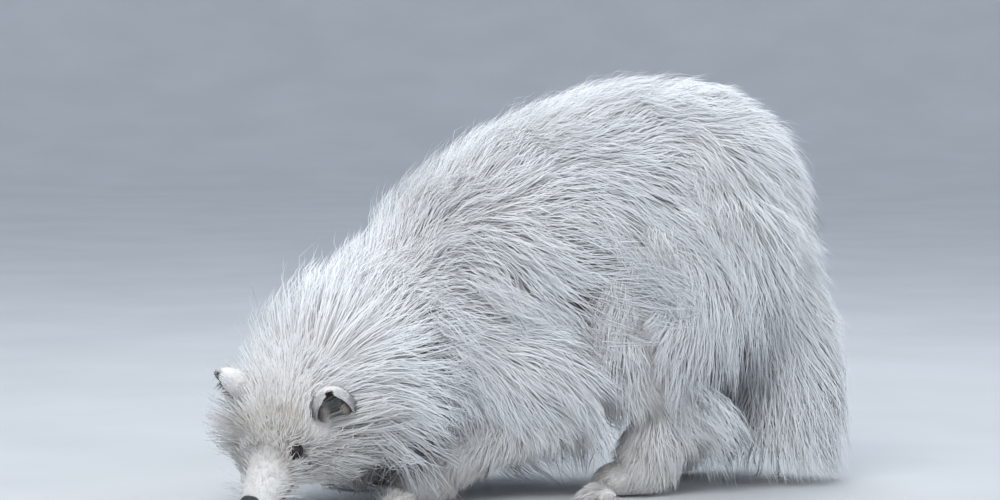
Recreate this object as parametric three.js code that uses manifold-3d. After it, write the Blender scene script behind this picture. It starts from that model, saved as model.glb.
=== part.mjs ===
// A Samoyed dog, life size, standing with its forequarters lowered and its muzzle held just above the ground.
// Millimetres, +Z up. The dog looks towards -X, its left side is -Y, and its soles stand on the plane z = 0.
import * as THREE from "three";
import { mergeVertices } from "three/addons/utils/BufferGeometryUtils.js";
import Module from "manifold-3d";

const wasm = await Module();
wasm.setup();

// Driving dimensions.
const GAP = 0.3; // left between parts that touch
const WELD = 2.2; // corners of the joined body closer to a flat than this are dropped
const CORE_SHARE = 0.45; // of the coat's depth, the dense undercoat under the locks

// The trunk, from the rump to the forechest: x, y, z, half width, half height, depth of coat.
const TRUNK = [
  [306, 0, 408, 40, 40, 40],
  [275, 0, 424, 82, 80, 46],
  [220, 0, 446, 98, 94, 46],
  [145, 0, 450, 97, 96, 46],
  [60, 0, 418, 102, 106, 48],
  [-30, 0, 357, 110, 118, 52],
  [-110, 0, 289, 106, 116, 55],
  [-168, 0, 240, 88, 92, 58],
  [-200, 0, 208, 50, 50, 58],
];
// The neck, bent towards the dog's left on its way down to the skull.
const NECK = [
  [-95, 0, 296, 86, 92, 50],
  [-185, -20, 250, 82, 84, 54],
  [-254, -72, 200, 76, 76, 66],
  [-310, -126, 168, 70, 72, 86],
  [-348, -160, 150, 60, 62, 96],
];

// The head's own frame: along the muzzle, up through the crown, and out through the left ear.
const SKULL = new THREE.Vector3(-368, -178, 141); // between the roots of the ears
const HEADING = THREE.MathUtils.degToRad(-129.5);
const HEAD_PITCH = THREE.MathUtils.degToRad(45);
const HEAD_ROLL = THREE.MathUtils.degToRad(-6);
const UP = new THREE.Vector3(0, 0, 1);
const ahead = new THREE.Vector3(Math.cos(HEADING), Math.sin(HEADING), 0);
const headLeft = UP.clone().cross(ahead).applyAxisAngle(ahead, HEAD_ROLL);
const muzzleAxis = ahead.clone().applyAxisAngle(headLeft, HEAD_PITCH);
const crownAxis = muzzleAxis.clone().cross(headLeft);

// The skull and muzzle: distance along the muzzle, height of the middle, half width, half height, depth of coat.
const HEAD = [
  [-46, 2, 34, 32, 76],
  [-34, 3, 48, 42, 84],
  [-8, 1, 62, 50, 80],
  [24, -2, 67, 52, 62],
  [50, -8, 60, 47, 34],
  [72, -14, 45, 38, 10],
  [92, -18, 35, 31, 6],
  [124, -21, 29, 27, 4],
  [146, -22, 24, 22, 3],
  [157, -20, 14, 14, 2],
];
const NOSE_AT = [155, -9];
const NOSE_SIZE = [10, 10, 14];
const CROWN_COVER = 0.3; // of the depth of coat on the cheeks, over the crown
const EYE_AT = [70, 9, 34];
const EYE_RADIUS = 11.5;
const LID_OPENING = [11.5, 7.5]; // half its length and half its height
const EAR_ROOT = [6, 20, 68];
const EAR_LEAN = [0.25, 0.8, 0.3]; // of its axis: along the muzzle, up through the crown and out to its side
const EAR_FACING = 0.7; // how far its opening turns out to the side, for each step along the muzzle
const EAR_HEIGHT = 78;
const EAR_HALF_WIDTH = 30;
const EAR_WALL = 7;
const EAR_SINK = 14; // of its root in the head
const EAR_WRAP = THREE.MathUtils.degToRad(118); // how far its wall reaches round from the back, to each side
const MOUTH_LINE = [[170, -27], [146, -30], [112, -31], [84, -26]]; // along the muzzle, and up
const MOUTH_GAP = 1.4;

// Each leg is a few tapered lengths: x, half width to the side, z, half depth fore and aft, coat; y is the leg's own.
const HIND = {
  thigh: [
    [240, 60, 418, 48, 78, 30],
    [204, 80, 338, 50, 84, 32],
    [160, 96, 270, 42, 66, 34],
    [136, 102, 232, 32, 46, 32],
  ],
  shank: [
    [136, 102, 246, 34, 46, 32],
    [164, 100, 192, 29, 42, 40],
    [206, 96, 146, 20, 27, 32],
  ],
  cannon: [
    [208, 96, 152, 18, 23, 30],
    [182, 96, 92, 18, 21, 28],
    [152, 96, 40, 20, 22, 18],
  ],
};
const FORE = {
  shoulder: [
    [-92, 66, 330, 38, 66, 40],
    [-128, 88, 262, 44, 66, 40],
    [-142, 96, 206, 44, 56, 36],
  ],
  arm: [
    [-142, 96, 206, 44, 54, 36],
    [-60, 103, 182, 44, 54, 36],
    [14, 106, 158, 30, 36, 28],
  ],
  forearm: [
    [18, 106, 160, 28, 32, 30],
    [-52, 108, 118, 25, 27, 28],
    [-134, 110, 68, 20, 21, 18],
  ],
  pastern: [
    [-130, 110, 70, 20, 21, 18],
    [-168, 110, 36, 21, 20, 8],
  ],
};
// A paw runs forward from its heel: distance ahead, z, half width, half height.
const PAW = [
  [-18, 27, 22, 22],
  [8, 25, 32, 25],
  [36, 20, 32, 21],
];
const PAW_COAT = 5;
const TOE_RADIUS = 12;
const TOE_SPREAD = 15.5;
const TOE_REACH = [44, 54, 54, 44]; // ahead of the heel
const CLAW_LENGTH = 17;
const CLAW_RADIUS = 3.4;
const CLAW_DROOP = THREE.MathUtils.degToRad(20);
const FORE_SHIFT = { left: 0, right: -28 }; // how far towards the rump each foot is moved
const HIND_SHIFT = { left: -30, right: 62 };
const SIDES = { left: -1, right: 1 };

// The tail hangs: x, y, z, half width, half depth, and how far the long hair hangs out from it.
const TAIL = [
  [286, 0, 492, 25, 24, 34],
  [316, 0, 458, 22, 22, 38],
  [326, 0, 400, 19, 19, 50],
  [338, 0, 320, 16, 16, 66],
  [352, 0, 240, 13, 13, 82],
  [356, 0, 180, 9, 9, 88],
  [350, 0, 122, 6, 6, 72],
];

// Where the whole is parted.
const TAIL_PLANE_X = 316;
const LEG_PLANE_X = 84; // between what belongs to the forelegs and to the hind legs
const FORE_PLANE = { at: [28, 206], slope: 0.552, inner: 52 };
const HIND_PLANE = { at: [84, 286], slope: 0.42, inner: 0 };
const NECK_PLANE = { at: [-172, -8, 262], normal: [-0.86, -0.24, -0.45] };
const HEAD_PLANE_AT = -18; // along the muzzle's axis, from between the ears
const HOCK_PLANE_Z = 150;

// The locks of the outer coat, for each limb: rows along it, locks in a row, length, width, how much of the lie
// follows the limb's axis, and the drift added to it. Locks with a stand over 1 bristle out past the coat's depth.
const LOCKS = {
  trunk: { rows: 6, around: 10, length: 130, width: 88, along: -1, drift: [0, 0, -0.8] },
  neck: { rows: 4, around: 10, length: 122, width: 76, along: -1, drift: [0, 0, -0.35] },
  head: { rows: 3, around: 9, from: 0.1, to: 0.42, length: 46, width: 58, along: -1, drift: [0, 0, -0.3], stand: 1.35 },
  tail: { rows: 5, around: 7, length: 118, width: 54, along: 1, drift: [0.15, 0, -0.3] },
  thigh: { rows: 2, around: 7, length: 92, width: 52, along: 1, drift: [0.5, 0, 0] },
  shank: { rows: 2, around: 6, length: 68, width: 44, along: 0.8, drift: [0.1, 0, -0.5] },
  arm: { rows: 2, around: 6, length: 88, width: 50, along: 0.6, drift: [0.2, 0, -0.7] },
  forearm: { rows: 1, around: 6, length: 64, width: 42, along: 0, drift: [0.6, 0, -0.5] },
};
const LOCK_SINK = 12; // of a root below the core's surface
const LOCK_FLATNESS = 0.2; // thickness over width
const LOCK_SEED = 7;
const LOCK_SHOWN = 0.4; // least share of a lock that stands clear of every core
const GROUND_CLEARANCE = 8;
const LIMB_BEND_RADIUS = 500; // of a limb along its axis, for the locks that follow it

const vector = (p) => new THREE.Vector3(...p);
const onHead = (along, up, left) =>
  SKULL.clone().addScaledVector(muzzleAxis, along).addScaledVector(crownAxis, up).addScaledVector(headLeft, left);

// A closed geometry as a solid, turned to face out.
function solid(geometry) {
  const bare = geometry.clone();
  bare.deleteAttribute("normal");
  bare.deleteAttribute("uv");
  const merged = mergeVertices(bare, 1e-4);
  const make = (triVerts) =>
    new wasm.Manifold(
      new wasm.Mesh({ numProp: 3, vertProperties: merged.attributes.position.array, triVerts }),
    );
  const corners = new Uint32Array(merged.index.array);
  const made = make(corners);
  return made.volume() < 0 ? make(corners.reverse()) : made;
}

// A solid as a geometry.
function geometryOf(made) {
  const mesh = made.getMesh();
  const geometry = new THREE.BufferGeometry();
  geometry.setAttribute("position", new THREE.BufferAttribute(new Float32Array(mesh.vertProperties), 3));
  geometry.setIndex(new THREE.BufferAttribute(new Uint32Array(mesh.triVerts), 1));
  return geometry;
}

const joined = (solids) => wasm.Manifold.union(solids);
const largest = (made) => made.decompose().reduce((a, b) => (a.volume() > b.volume() ? a : b));

// Carries each corner of a geometry to another place.
function carry(geometry, place) {
  const position = geometry.getAttribute("position");
  const corner = new THREE.Vector3();
  for (let i = 0; i < position.count; i++) {
    corner.fromBufferAttribute(position, i);
    const moved = place(corner);
    position.setXYZ(i, moved.x, moved.y, moved.z);
  }
  return geometry;
}

// A limb: a smooth axis through its stations, with a half width, a half height and a coat at each place.
// The width is measured along the vectors given for its two ends. The cover is the share of the coat at an angle round.
function limb(stations, widthAtStart, widthAtEnd = widthAtStart, cover = () => 1) {
  const axis = new THREE.CatmullRomCurve3(stations.map((s) => vector(s.slice(0, 3))));
  const size = new THREE.CatmullRomCurve3(stations.map((s) => vector(s.slice(3, 6))));
  const at = (t) => {
    const share = THREE.MathUtils.clamp(t, 0, 1);
    const along = axis.getTangent(share);
    const wide = widthAtStart.clone().lerp(widthAtEnd, share);
    wide.addScaledVector(along, -wide.dot(along)).normalize();
    const tall = wide.clone().cross(along);
    const sizes = size.getPoint(share);
    return { centre: axis.getPoint(share), along, wide, tall, sizes };
  };
  // A point over the skin at a share of the way along, an angle round the axis and a height above the skin.
  const over = (t, angle, height) => {
    const { centre, wide, tall, sizes } = at(t);
    return centre
      .addScaledVector(wide, (sizes.x + height) * Math.cos(angle))
      .addScaledVector(tall, (sizes.y + height) * Math.sin(angle));
  };
  return { at, over, cover };
}

// A limb's solid, at a share of its coat's depth and a margin beyond it.
function body(shape, sides, rings, share, margin = 0) {
  const sphere = new THREE.SphereGeometry(1, sides, rings);
  const place = (corner) => {
    const ring = Math.round((Math.acos(THREE.MathUtils.clamp(corner.y, -1, 1)) / Math.PI) * rings);
    const t = (ring - 1) / (rings - 2);
    const { centre, along, sizes } = shape.at(t);
    const angle = Math.atan2(corner.z, corner.x);
    const height = sizes.z * share * shape.cover(angle) + margin;
    if (ring === 0 || ring === rings) {
      const bulge = 0.35 * Math.min(sizes.x, sizes.y) + 0.6 * height;
      return centre.addScaledVector(along, ring === 0 ? -bulge : bulge);
    }
    return shape.over(t, angle, height);
  };
  return solid(carry(sphere, place));
}

// The same random numbers on each run.
function seeded(seed) {
  let state = seed;
  return () => {
    state = (state + 0x6d2b79f5) | 0;
    let mixed = Math.imul(state ^ (state >>> 15), 1 | state);
    mixed = (mixed + Math.imul(mixed ^ (mixed >>> 7), 61 | mixed)) ^ mixed;
    return ((mixed ^ (mixed >>> 14)) >>> 0) / 4294967296;
  };
}

// A flat tapered lock that leaves its root along the lie, bends over the limb and rises to its tip.
function lock({ root, out, lie, length, width, rise, bendRadius, curl }) {
  const across = lie.clone().cross(out);
  const cone = new THREE.ConeGeometry(1, 1, 3, 3);
  const place = (corner) => {
    const s = corner.y + 0.5;
    const turn = Math.atan2(corner.x, corner.z);
    const taper = (1 - s) ** 0.7 * (0.8 + 0.6 * s);
    const drop = (length * s) ** 2 / (2 * bendRadius);
    return root.clone()
      .addScaledVector(lie, length * s)
      .addScaledVector(out, rise * Math.sin((s * Math.PI) / 2) - drop)
      .addScaledVector(across, curl * Math.sin(s * Math.PI) + Math.sin(turn) * 0.577 * width * taper)
      .addScaledVector(out, Math.cos(turn) * LOCK_FLATNESS * width * taper);
  };
  return solid(carry(cone, place));
}

// A limb's locks, in rows along it and rings round it, each root moved a little at random.
function locksOf(shape, { rows, around, from = 0.02, to = 0.98, length, width, along: alongShare, drift, stand = 1 }, random) {
  const made = [];
  for (let row = 0; row < rows; row++) {
    for (let column = 0; column < around; column++) {
      const t = THREE.MathUtils.lerp(from, to, (row + 0.2 + 0.6 * random()) / rows);
      const angle = ((column + (row % 2) / 2 + 0.35 * random()) / around) * 2 * Math.PI;
      const { centre, along, sizes } = shape.at(t);
      const depth = sizes.z * shape.cover(angle);
      const root = shape.over(t, angle, depth * CORE_SHARE - LOCK_SINK);
      const out = root.clone().sub(centre).normalize();
      const lie = along.clone().multiplyScalar(alongShare).add(vector(drift));
      lie.addScaledVector(out, -lie.dot(out)).normalize();
      const share = lie.dot(along) ** 2;
      const round = (sizes.x + sizes.y) / 2 + depth;
      made.push(
        lock({
          root,
          out,
          lie,
          length: length * (0.85 + 0.3 * random()),
          width: width * (0.85 + 0.3 * random()),
          rise: LOCK_SINK + depth * (stand * (0.9 + 0.2 * random()) - CORE_SHARE),
          bendRadius: stand > 1 ? Infinity : 1 / (share / LIMB_BEND_RADIUS + (1 - share) / round),
          curl: width * 0.5 * (random() - 0.5),
        }),
      );
    }
  }
  return made;
}

const LEFT = new THREE.Vector3(0, -1, 0);
const trunk = limb(TRUNK, LEFT);
const neck = limb(NECK, LEFT, headLeft);
const head = limb(
  HEAD.map(([along, up, ...sizes]) => [...onHead(along, up, 0).toArray(), ...sizes]),
  headLeft,
  headLeft,
  (angle) => 1 - (1 - CROWN_COVER) * Math.max(-Math.sin(angle), 0) ** 1.5,
);
const tail = limb(TAIL, LEFT);

// One length of a leg, on the dog's left or right, moved towards the rump by a shift that grows down to the foot.
function legLength(stations, side, shift) {
  const moved = stations.map(([x, y, z, ...sizes]) => [
    x + shift * THREE.MathUtils.clamp((400 - z) / 250, 0, 1),
    side * y,
    z,
    ...sizes,
  ]);
  return limb(moved, LEFT);
}

// Every length of every leg, with its name.
const legLengths = Object.entries(SIDES).flatMap(([name, side]) => [
  ...Object.entries(FORE).map(([part, stations]) => [part, legLength(stations, side, FORE_SHIFT[name])]),
  ...Object.entries(HIND).map(([part, stations]) => [part, legLength(stations, side, HIND_SHIFT[name])]),
]);

// The heel of each foot.
const feet = Object.entries(SIDES).flatMap(([name, side]) => {
  const [foreX, foreY] = FORE.pastern.at(-1);
  const [hindX, hindY] = HIND.cannon.at(-1);
  return [
    { name: `foreleg_${name}`, x: foreX + FORE_SHIFT[name], y: side * foreY },
    { name: `hind_leg_${name}`, x: hindX + HIND_SHIFT[name], y: side * hindY },
  ];
});

// A paw with its four toes.
function paw({ x, y }) {
  const stations = PAW.map(([forward, z, wide, tall]) => [x - forward, y, z, wide, tall, PAW_COAT]);
  const toes = TOE_REACH.map((reach, i) => {
    const toe = new THREE.SphereGeometry(TOE_RADIUS, 7, 5).scale(1.35, 0.86, 1);
    return solid(toe.translate(x - reach, y + (i - 1.5) * TOE_SPREAD, TOE_RADIUS - 1.5));
  });
  return [body(limb(stations, LEFT), 10, 5, CORE_SHARE), ...toes];
}

// A claw, its root sunk in the end of its toe.
function claw({ x, y }, i, margin = 0) {
  const cone = new THREE.ConeGeometry(CLAW_RADIUS + 1.4 * margin, CLAW_LENGTH + 4 * margin, 5, 1);
  cone.rotateZ(Math.PI / 2).rotateY(-CLAW_DROOP);
  return solid(cone.translate(x - TOE_REACH[i] - 1.35 * TOE_RADIUS, y + (i - 1.5) * TOE_SPREAD, TOE_RADIUS - 3));
}

// Everything below a slanting plane, on one side of the dog, as a block; a positive margin makes it smaller.
function legBlock({ at: [x, z], slope, inner }, side, fore, margin) {
  const block = new THREE.BoxGeometry(2000, 1000, 1000);
  block.translate(0, 0, -500 - margin);
  block.rotateY(-Math.atan(slope));
  block.translate(x, side * (500 + inner + margin), z);
  return fore
    ? solid(block).trimByPlane([-1, 0, 0], -LEG_PLANE_X + margin)
    : solid(block).trimByPlane([1, 0, 0], LEG_PLANE_X + margin);
}

// An ear: a cup whose wall is a crescent at each height, with its opening ahead and outwards.
function ear(side, margin = 0) {
  const root = onHead(EAR_ROOT[0], EAR_ROOT[1], side * EAR_ROOT[2]);
  const axis = muzzleAxis.clone().multiplyScalar(EAR_LEAN[0]).addScaledVector(crownAxis, EAR_LEAN[1])
    .addScaledVector(headLeft, side * EAR_LEAN[2]).normalize();
  const mouth = muzzleAxis.clone().addScaledVector(headLeft, side * EAR_FACING);
  mouth.addScaledVector(axis, -mouth.dot(axis)).normalize();
  const across = axis.clone().cross(mouth);
  const rings = 8;
  const wrap = EAR_WRAP + (4 * margin) / EAR_HALF_WIDTH;
  const placed = (height, swing, reach) =>
    root.clone()
      .addScaledVector(axis, height * (EAR_HEIGHT + margin) - EAR_SINK)
      .addScaledVector(mouth, -Math.cos(swing) * reach * 0.82 - height * 6)
      .addScaledVector(across, Math.sin(swing) * reach);
  const place = (corner) => {
    const ring = Math.round((Math.acos(THREE.MathUtils.clamp(corner.y, -1, 1)) / Math.PI) * rings);
    const height = THREE.MathUtils.clamp((ring - 1) / (rings - 2), 0, 0.97);
    const radius = EAR_HALF_WIDTH * Math.sqrt(1 - height ** 2.6);
    if (ring === 0 || ring === rings) {
      return placed(ring === 0 ? -0.04 : 1, 0, radius - EAR_WALL / 2);
    }
    const angle = THREE.MathUtils.euclideanModulo(Math.atan2(corner.z, corner.x), 2 * Math.PI);
    const outer = angle < Math.PI - 1e-6;
    const swing = ((2 * (outer ? angle : 2 * Math.PI - angle)) / Math.PI - 1) * wrap;
    const wall = EAR_WALL * Math.cos(swing * 0.55) * (1 - 0.35 * height);
    return placed(height, swing, outer ? radius + margin : Math.max(0.5, radius - wall - margin));
  };
  return solid(carry(new THREE.SphereGeometry(1, 14, rings), place));
}

// A ball or egg on the head, its three half sizes along the muzzle, up and to the left.
function egg([along, up, left], sizes, columns, rows) {
  const place = (p) => onHead(along + p.x * sizes[0], up + p.y * sizes[1], left + p.z * sizes[2]);
  return solid(carry(new THREE.SphereGeometry(1, columns, rows), place));
}

const eyeball = (side, margin = 0) =>
  egg([EYE_AT[0], EYE_AT[1], side * EYE_AT[2]], Array(3).fill(EYE_RADIUS + margin), 12, 8);

const nosePad = (margin = 0) => egg([...NOSE_AT, 0], NOSE_SIZE.map((size) => size + margin), 14, 8);

// The eye's own frame: along from corner to corner, across from lid to lid, and out of the head.
function eyeFrame(side) {
  const out = muzzleAxis.clone().multiplyScalar(0.55).addScaledVector(headLeft, side * 0.66)
    .addScaledVector(crownAxis, 0.42).normalize();
  const along = muzzleAxis.clone().multiplyScalar(0.8).addScaledVector(crownAxis, -0.35);
  along.addScaledVector(out, -along.dot(out)).normalize();
  const across = out.clone().cross(along);
  const middle = onHead(EYE_AT[0], EYE_AT[1], side * EYE_AT[2]);
  return (x, y, z) => middle.clone().addScaledVector(along, x).addScaledVector(across, y).addScaledVector(out, z);
}

// The lids: a ring of skin round the eye's opening, long from corner to corner and low from lid to lid.
function lids(side) {
  const place = eyeFrame(side);
  const ring = new THREE.TorusGeometry(1, 0.24, 5, 12);
  const [long, low] = LID_OPENING;
  return solid(carry(ring, (p) => place(p.x * long, p.y * low, EYE_RADIUS * 0.72 + p.z * EYE_RADIUS)));
}

// The opening between the lids, an egg that reaches from the eyeball out of the head.
function lidOpening(side) {
  const place = eyeFrame(side);
  const [long, low] = LID_OPENING;
  const hollow = new THREE.SphereGeometry(1, 10, 7);
  return solid(carry(hollow, (p) => place(p.x * (long - 2), p.y * (low - 1.4), 15 + p.z * 14)));
}

// The line of the mouth: a thin curved cut from under the nose back to the corner of the lips on both sides.
function mouthCut() {
  const line = new THREE.CatmullRomCurve3(MOUTH_LINE.map(([along, up]) => new THREE.Vector3(along, up, 0)));
  const half = MOUTH_GAP / 2;
  const outline = new THREE.Shape().moveTo(-half, -45).lineTo(half, -45).lineTo(half, 45).lineTo(-half, 45);
  const slab = new THREE.ExtrudeGeometry(outline, { steps: 6, extrudePath: line });
  return solid(carry(slab, (p) => onHead(p.x, p.y, p.z)));
}

// The nostrils, a comma's hollow in each side of the nose pad.
const nostril = (side) => egg([NOSE_AT[0] + 9, NOSE_AT[1] - 1, side * 6], [5, 3, 2.4], 7, 5);

const cores = joined([
  body(trunk, 16, 11, CORE_SHARE),
  body(neck, 16, 7, CORE_SHARE),
  body(head, 16, 13, CORE_SHARE),
  ...legLengths.map(([, shape]) => body(shape, 10, 6, CORE_SHARE)),
  ...feet.flatMap(paw),
]);

const random = seeded(LOCK_SEED);
// Locks that would be lost inside another part, cross an ear or touch the ground are left out.
const bothEars = joined([ear(1, 4 * GAP), ear(-1, 4 * GAP)]);
const standsClear = (made) =>
  made.boundingBox().min[2] > GROUND_CLEARANCE &&
  made.intersect(bothEars).isEmpty() &&
  made.subtract(cores).volume() > LOCK_SHOWN * made.volume();
const coat = [["trunk", trunk], ["neck", neck], ["head", head], ...legLengths]
  .filter(([name]) => name in LOCKS)
  .flatMap(([name, shape]) => locksOf(shape, LOCKS[name], random))
  .filter(standsClear);

const hollows = Object.values(SIDES).flatMap((side) => [eyeball(side, GAP), lidOpening(side), ear(side, 2.5 * GAP)]);
const clawHollows = feet.flatMap((foot) => TOE_REACH.map((_, i) => claw(foot, i, GAP)));
const whole = joined([joined([cores, ...coat]).simplify(WELD), ...Object.values(SIDES).map(lids)])
  .subtract(joined([...hollows, ...clawHollows, mouthCut(), nosePad(GAP)]))
  .trimByPlane([0, 0, 1], 0)
  .trimByPlane([-1, 0, 0], -TAIL_PLANE_X + GAP / 2);

const wholeTail = joined([body(tail, 14, 10, CORE_SHARE), ...locksOf(tail, LOCKS.tail, random)]).simplify(WELD);

// What lies beyond and what lies short of a plane, given by its normal and its distance from the origin.
const beyond = (made, normal, offset) => made.trimByPlane(normal.toArray(), offset + GAP / 2);
const shortOf = (made, normal, offset) => made.trimByPlane(normal.clone().negate().toArray(), -offset + GAP / 2);

const neckNormal = vector(NECK_PLANE.normal).normalize();
const neckOffset = neckNormal.dot(vector(NECK_PLANE.at));
const headOffset = muzzleAxis.dot(SKULL) + HEAD_PLANE_AT;
const blocks = Object.values(SIDES).flatMap((side) => [
  legBlock(FORE_PLANE, side, true, 0),
  legBlock(HIND_PLANE, side, false, 0),
]);
const barrel = whole.subtract(joined(blocks));
const front = beyond(barrel, neckNormal, neckOffset);

const nodes = {
  torso: [shortOf(barrel, neckNormal, neckOffset), "coat"],
  neck: [shortOf(front, muzzleAxis, headOffset), "ruff"],
  head: [beyond(front, muzzleAxis, headOffset), "face"],
  tail: [beyond(wholeTail, new THREE.Vector3(1, 0, 0), TAIL_PLANE_X), "coat"],
  nose: [nosePad().subtract(joined([nostril(1), nostril(-1)])), "leather"],
};
for (const [name, side] of Object.entries(SIDES)) {
  const hind = whole.intersect(legBlock(HIND_PLANE, side, false, GAP));
  nodes[`foreleg_${name}`] = [whole.intersect(legBlock(FORE_PLANE, side, true, GAP)), "coat"];
  nodes[`hind_leg_${name}`] = [beyond(hind, UP, HOCK_PLANE_Z), "coat"];
  nodes[`hind_foot_${name}`] = [shortOf(hind, UP, HOCK_PLANE_Z), "coat"];
  nodes[`ear_${name}`] = [ear(-side).subtract(cores), "ear"];
  nodes[`eye_${name}`] = [eyeball(-side), "eye"];
}
for (const foot of feet) {
  TOE_REACH.forEach((_, i) => {
    nodes[`claw_${foot.name}_${i + 1}`] = [claw(foot, i), "claw"];
  });
}

const FINISH = {
  coat: { color: 0xe9edf2, roughness: 0.85 },
  ruff: { color: 0xeef1f5, roughness: 0.85 },
  face: { color: 0xe2e2e0, roughness: 0.8 },
  ear: { color: 0xd9d6d2, roughness: 0.8 },
  eye: { color: 0x2a1a10, roughness: 0.08 },
  leather: { color: 0x1b191a, roughness: 0.45 },
  claw: { color: 0x5a5048, roughness: 0.4 },
};

const dog = new THREE.Group();
for (const [name, [made, finish]] of Object.entries(nodes)) {
  const mesh = new THREE.Mesh(
    geometryOf(largest(made)),
    new THREE.MeshStandardMaterial({ ...FINISH[finish], metalness: 0 }),
  );
  mesh.name = name;
  dog.add(mesh);
}

// The origin is under the middle of the dog, on the ground.
const reach = new THREE.Box3().setFromObject(dog);
dog.position.set(-(reach.min.x + reach.max.x) / 2, -(reach.min.y + reach.max.y) / 2, 0);

export default dog;
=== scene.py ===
"""The looks of a life-size samoyed: skin, long coat, head details, materials, light and camera.

Metres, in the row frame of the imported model: +Z up, the head towards -X, the dog's left side is -Y.
"""

import math

import bmesh
import bpy
import numpy as np
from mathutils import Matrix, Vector
from mathutils.bvhtree import BVHTree
from mathutils.kdtree import KDTree


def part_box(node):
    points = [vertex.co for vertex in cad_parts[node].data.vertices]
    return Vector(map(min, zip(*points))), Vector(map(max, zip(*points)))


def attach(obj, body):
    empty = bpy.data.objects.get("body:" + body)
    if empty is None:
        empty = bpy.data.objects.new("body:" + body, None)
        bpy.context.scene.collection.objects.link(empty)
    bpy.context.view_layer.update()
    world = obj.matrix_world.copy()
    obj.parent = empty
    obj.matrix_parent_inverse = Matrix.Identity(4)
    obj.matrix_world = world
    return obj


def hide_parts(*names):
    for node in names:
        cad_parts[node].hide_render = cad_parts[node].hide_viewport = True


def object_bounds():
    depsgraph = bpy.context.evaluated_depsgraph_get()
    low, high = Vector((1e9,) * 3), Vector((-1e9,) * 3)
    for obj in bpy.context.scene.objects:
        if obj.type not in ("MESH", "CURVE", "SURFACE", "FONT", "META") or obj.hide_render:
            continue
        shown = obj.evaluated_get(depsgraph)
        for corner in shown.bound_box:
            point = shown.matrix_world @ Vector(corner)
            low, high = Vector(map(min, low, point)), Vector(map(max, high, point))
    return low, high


# Stations of the body's limbs, as in the solids: x, y, z, half width, half height, depth of coat.
TRUNK = (
    (0.306, 0, 0.408, 0.04, 0.04, 0.04),
    (0.275, 0, 0.424, 0.082, 0.08, 0.046),
    (0.22, 0, 0.446, 0.098, 0.094, 0.046),
    (0.145, 0, 0.45, 0.097, 0.096, 0.046),
    (0.06, 0, 0.418, 0.102, 0.106, 0.048),
    (-0.03, 0, 0.357, 0.11, 0.118, 0.052),
    (-0.11, 0, 0.289, 0.106, 0.116, 0.055),
    (-0.168, 0, 0.24, 0.088, 0.092, 0.058),
    (-0.2, 0, 0.208, 0.05, 0.05, 0.058),
)
NECK = (
    (-0.095, 0, 0.296, 0.086, 0.092, 0.05),
    (-0.185, -0.02, 0.25, 0.082, 0.084, 0.054),
    (-0.254, -0.072, 0.2, 0.076, 0.076, 0.066),
    (-0.31, -0.126, 0.168, 0.07, 0.072, 0.086),
    (-0.348, -0.16, 0.15, 0.06, 0.062, 0.096),
)
TAIL = (
    (0.286, 0, 0.492, 0.025, 0.024, 0.034),
    (0.316, 0, 0.458, 0.022, 0.022, 0.038),
    (0.326, 0, 0.4, 0.019, 0.019, 0.05),
    (0.338, 0, 0.32, 0.016, 0.016, 0.066),
    (0.352, 0, 0.24, 0.013, 0.013, 0.082),
    (0.356, 0, 0.18, 0.009, 0.009, 0.088),
    (0.35, 0, 0.122, 0.006, 0.006, 0.072),
)
# The head's are: along the muzzle, up through the crown, half width, half height, depth of coat.
HEAD = (
    (-0.046, 0.002, 0.034, 0.032, 0.076),
    (-0.034, 0.003, 0.048, 0.042, 0.084),
    (-0.008, 0.001, 0.062, 0.05, 0.08),
    (0.024, -0.002, 0.067, 0.052, 0.062),
    (0.05, -0.008, 0.06, 0.047, 0.034),
    (0.072, -0.014, 0.045, 0.038, 0.01),
    (0.092, -0.018, 0.035, 0.031, 0.006),
    (0.124, -0.021, 0.029, 0.027, 0.004),
    (0.146, -0.022, 0.024, 0.022, 0.003),
    (0.157, -0.02, 0.014, 0.014, 0.002),
)
HIND = {
    "thigh": (
        (0.24, 0.06, 0.418, 0.048, 0.078, 0.03),
        (0.204, 0.08, 0.338, 0.05, 0.084, 0.032),
        (0.16, 0.096, 0.27, 0.042, 0.066, 0.034),
        (0.136, 0.102, 0.232, 0.032, 0.046, 0.032),
    ),
    "shank": (
        (0.136, 0.102, 0.246, 0.034, 0.046, 0.032),
        (0.164, 0.1, 0.192, 0.029, 0.042, 0.04),
        (0.206, 0.096, 0.146, 0.02, 0.027, 0.032),
    ),
    "cannon": (
        (0.208, 0.096, 0.152, 0.018, 0.023, 0.03),
        (0.182, 0.096, 0.092, 0.018, 0.021, 0.028),
        (0.152, 0.096, 0.04, 0.02, 0.022, 0.018),
    ),
}
FORE = {
    "shoulder": (
        (-0.092, 0.066, 0.33, 0.038, 0.066, 0.04),
        (-0.128, 0.088, 0.262, 0.044, 0.066, 0.04),
        (-0.142, 0.096, 0.206, 0.044, 0.056, 0.036),
    ),
    "arm": (
        (-0.142, 0.096, 0.206, 0.044, 0.054, 0.036),
        (-0.06, 0.103, 0.182, 0.044, 0.054, 0.036),
        (0.014, 0.106, 0.158, 0.03, 0.036, 0.028),
    ),
    "forearm": (
        (0.018, 0.106, 0.16, 0.028, 0.032, 0.03),
        (-0.052, 0.108, 0.118, 0.025, 0.027, 0.028),
        (-0.134, 0.11, 0.068, 0.02, 0.021, 0.018),
    ),
    "pastern": (
        (-0.13, 0.11, 0.07, 0.02, 0.021, 0.018),
        (-0.168, 0.11, 0.036, 0.021, 0.02, 0.008),
    ),
}
PAW = (
    (-0.018, 0.027, 0.022, 0.022),
    (0.008, 0.025, 0.032, 0.025),
    (0.036, 0.02, 0.032, 0.021),
)
PAW_COAT = 0.006
TOE_RADIUS = 0.012
TOE_SPREAD = 0.0155
TOE_REACH = (0.044, 0.054, 0.054, 0.044)
CLAW_LENGTH = 0.017
CLAW_RADIUS = 0.0034
FORE_SHIFT = {"left": 0.0, "right": -0.028}
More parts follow.
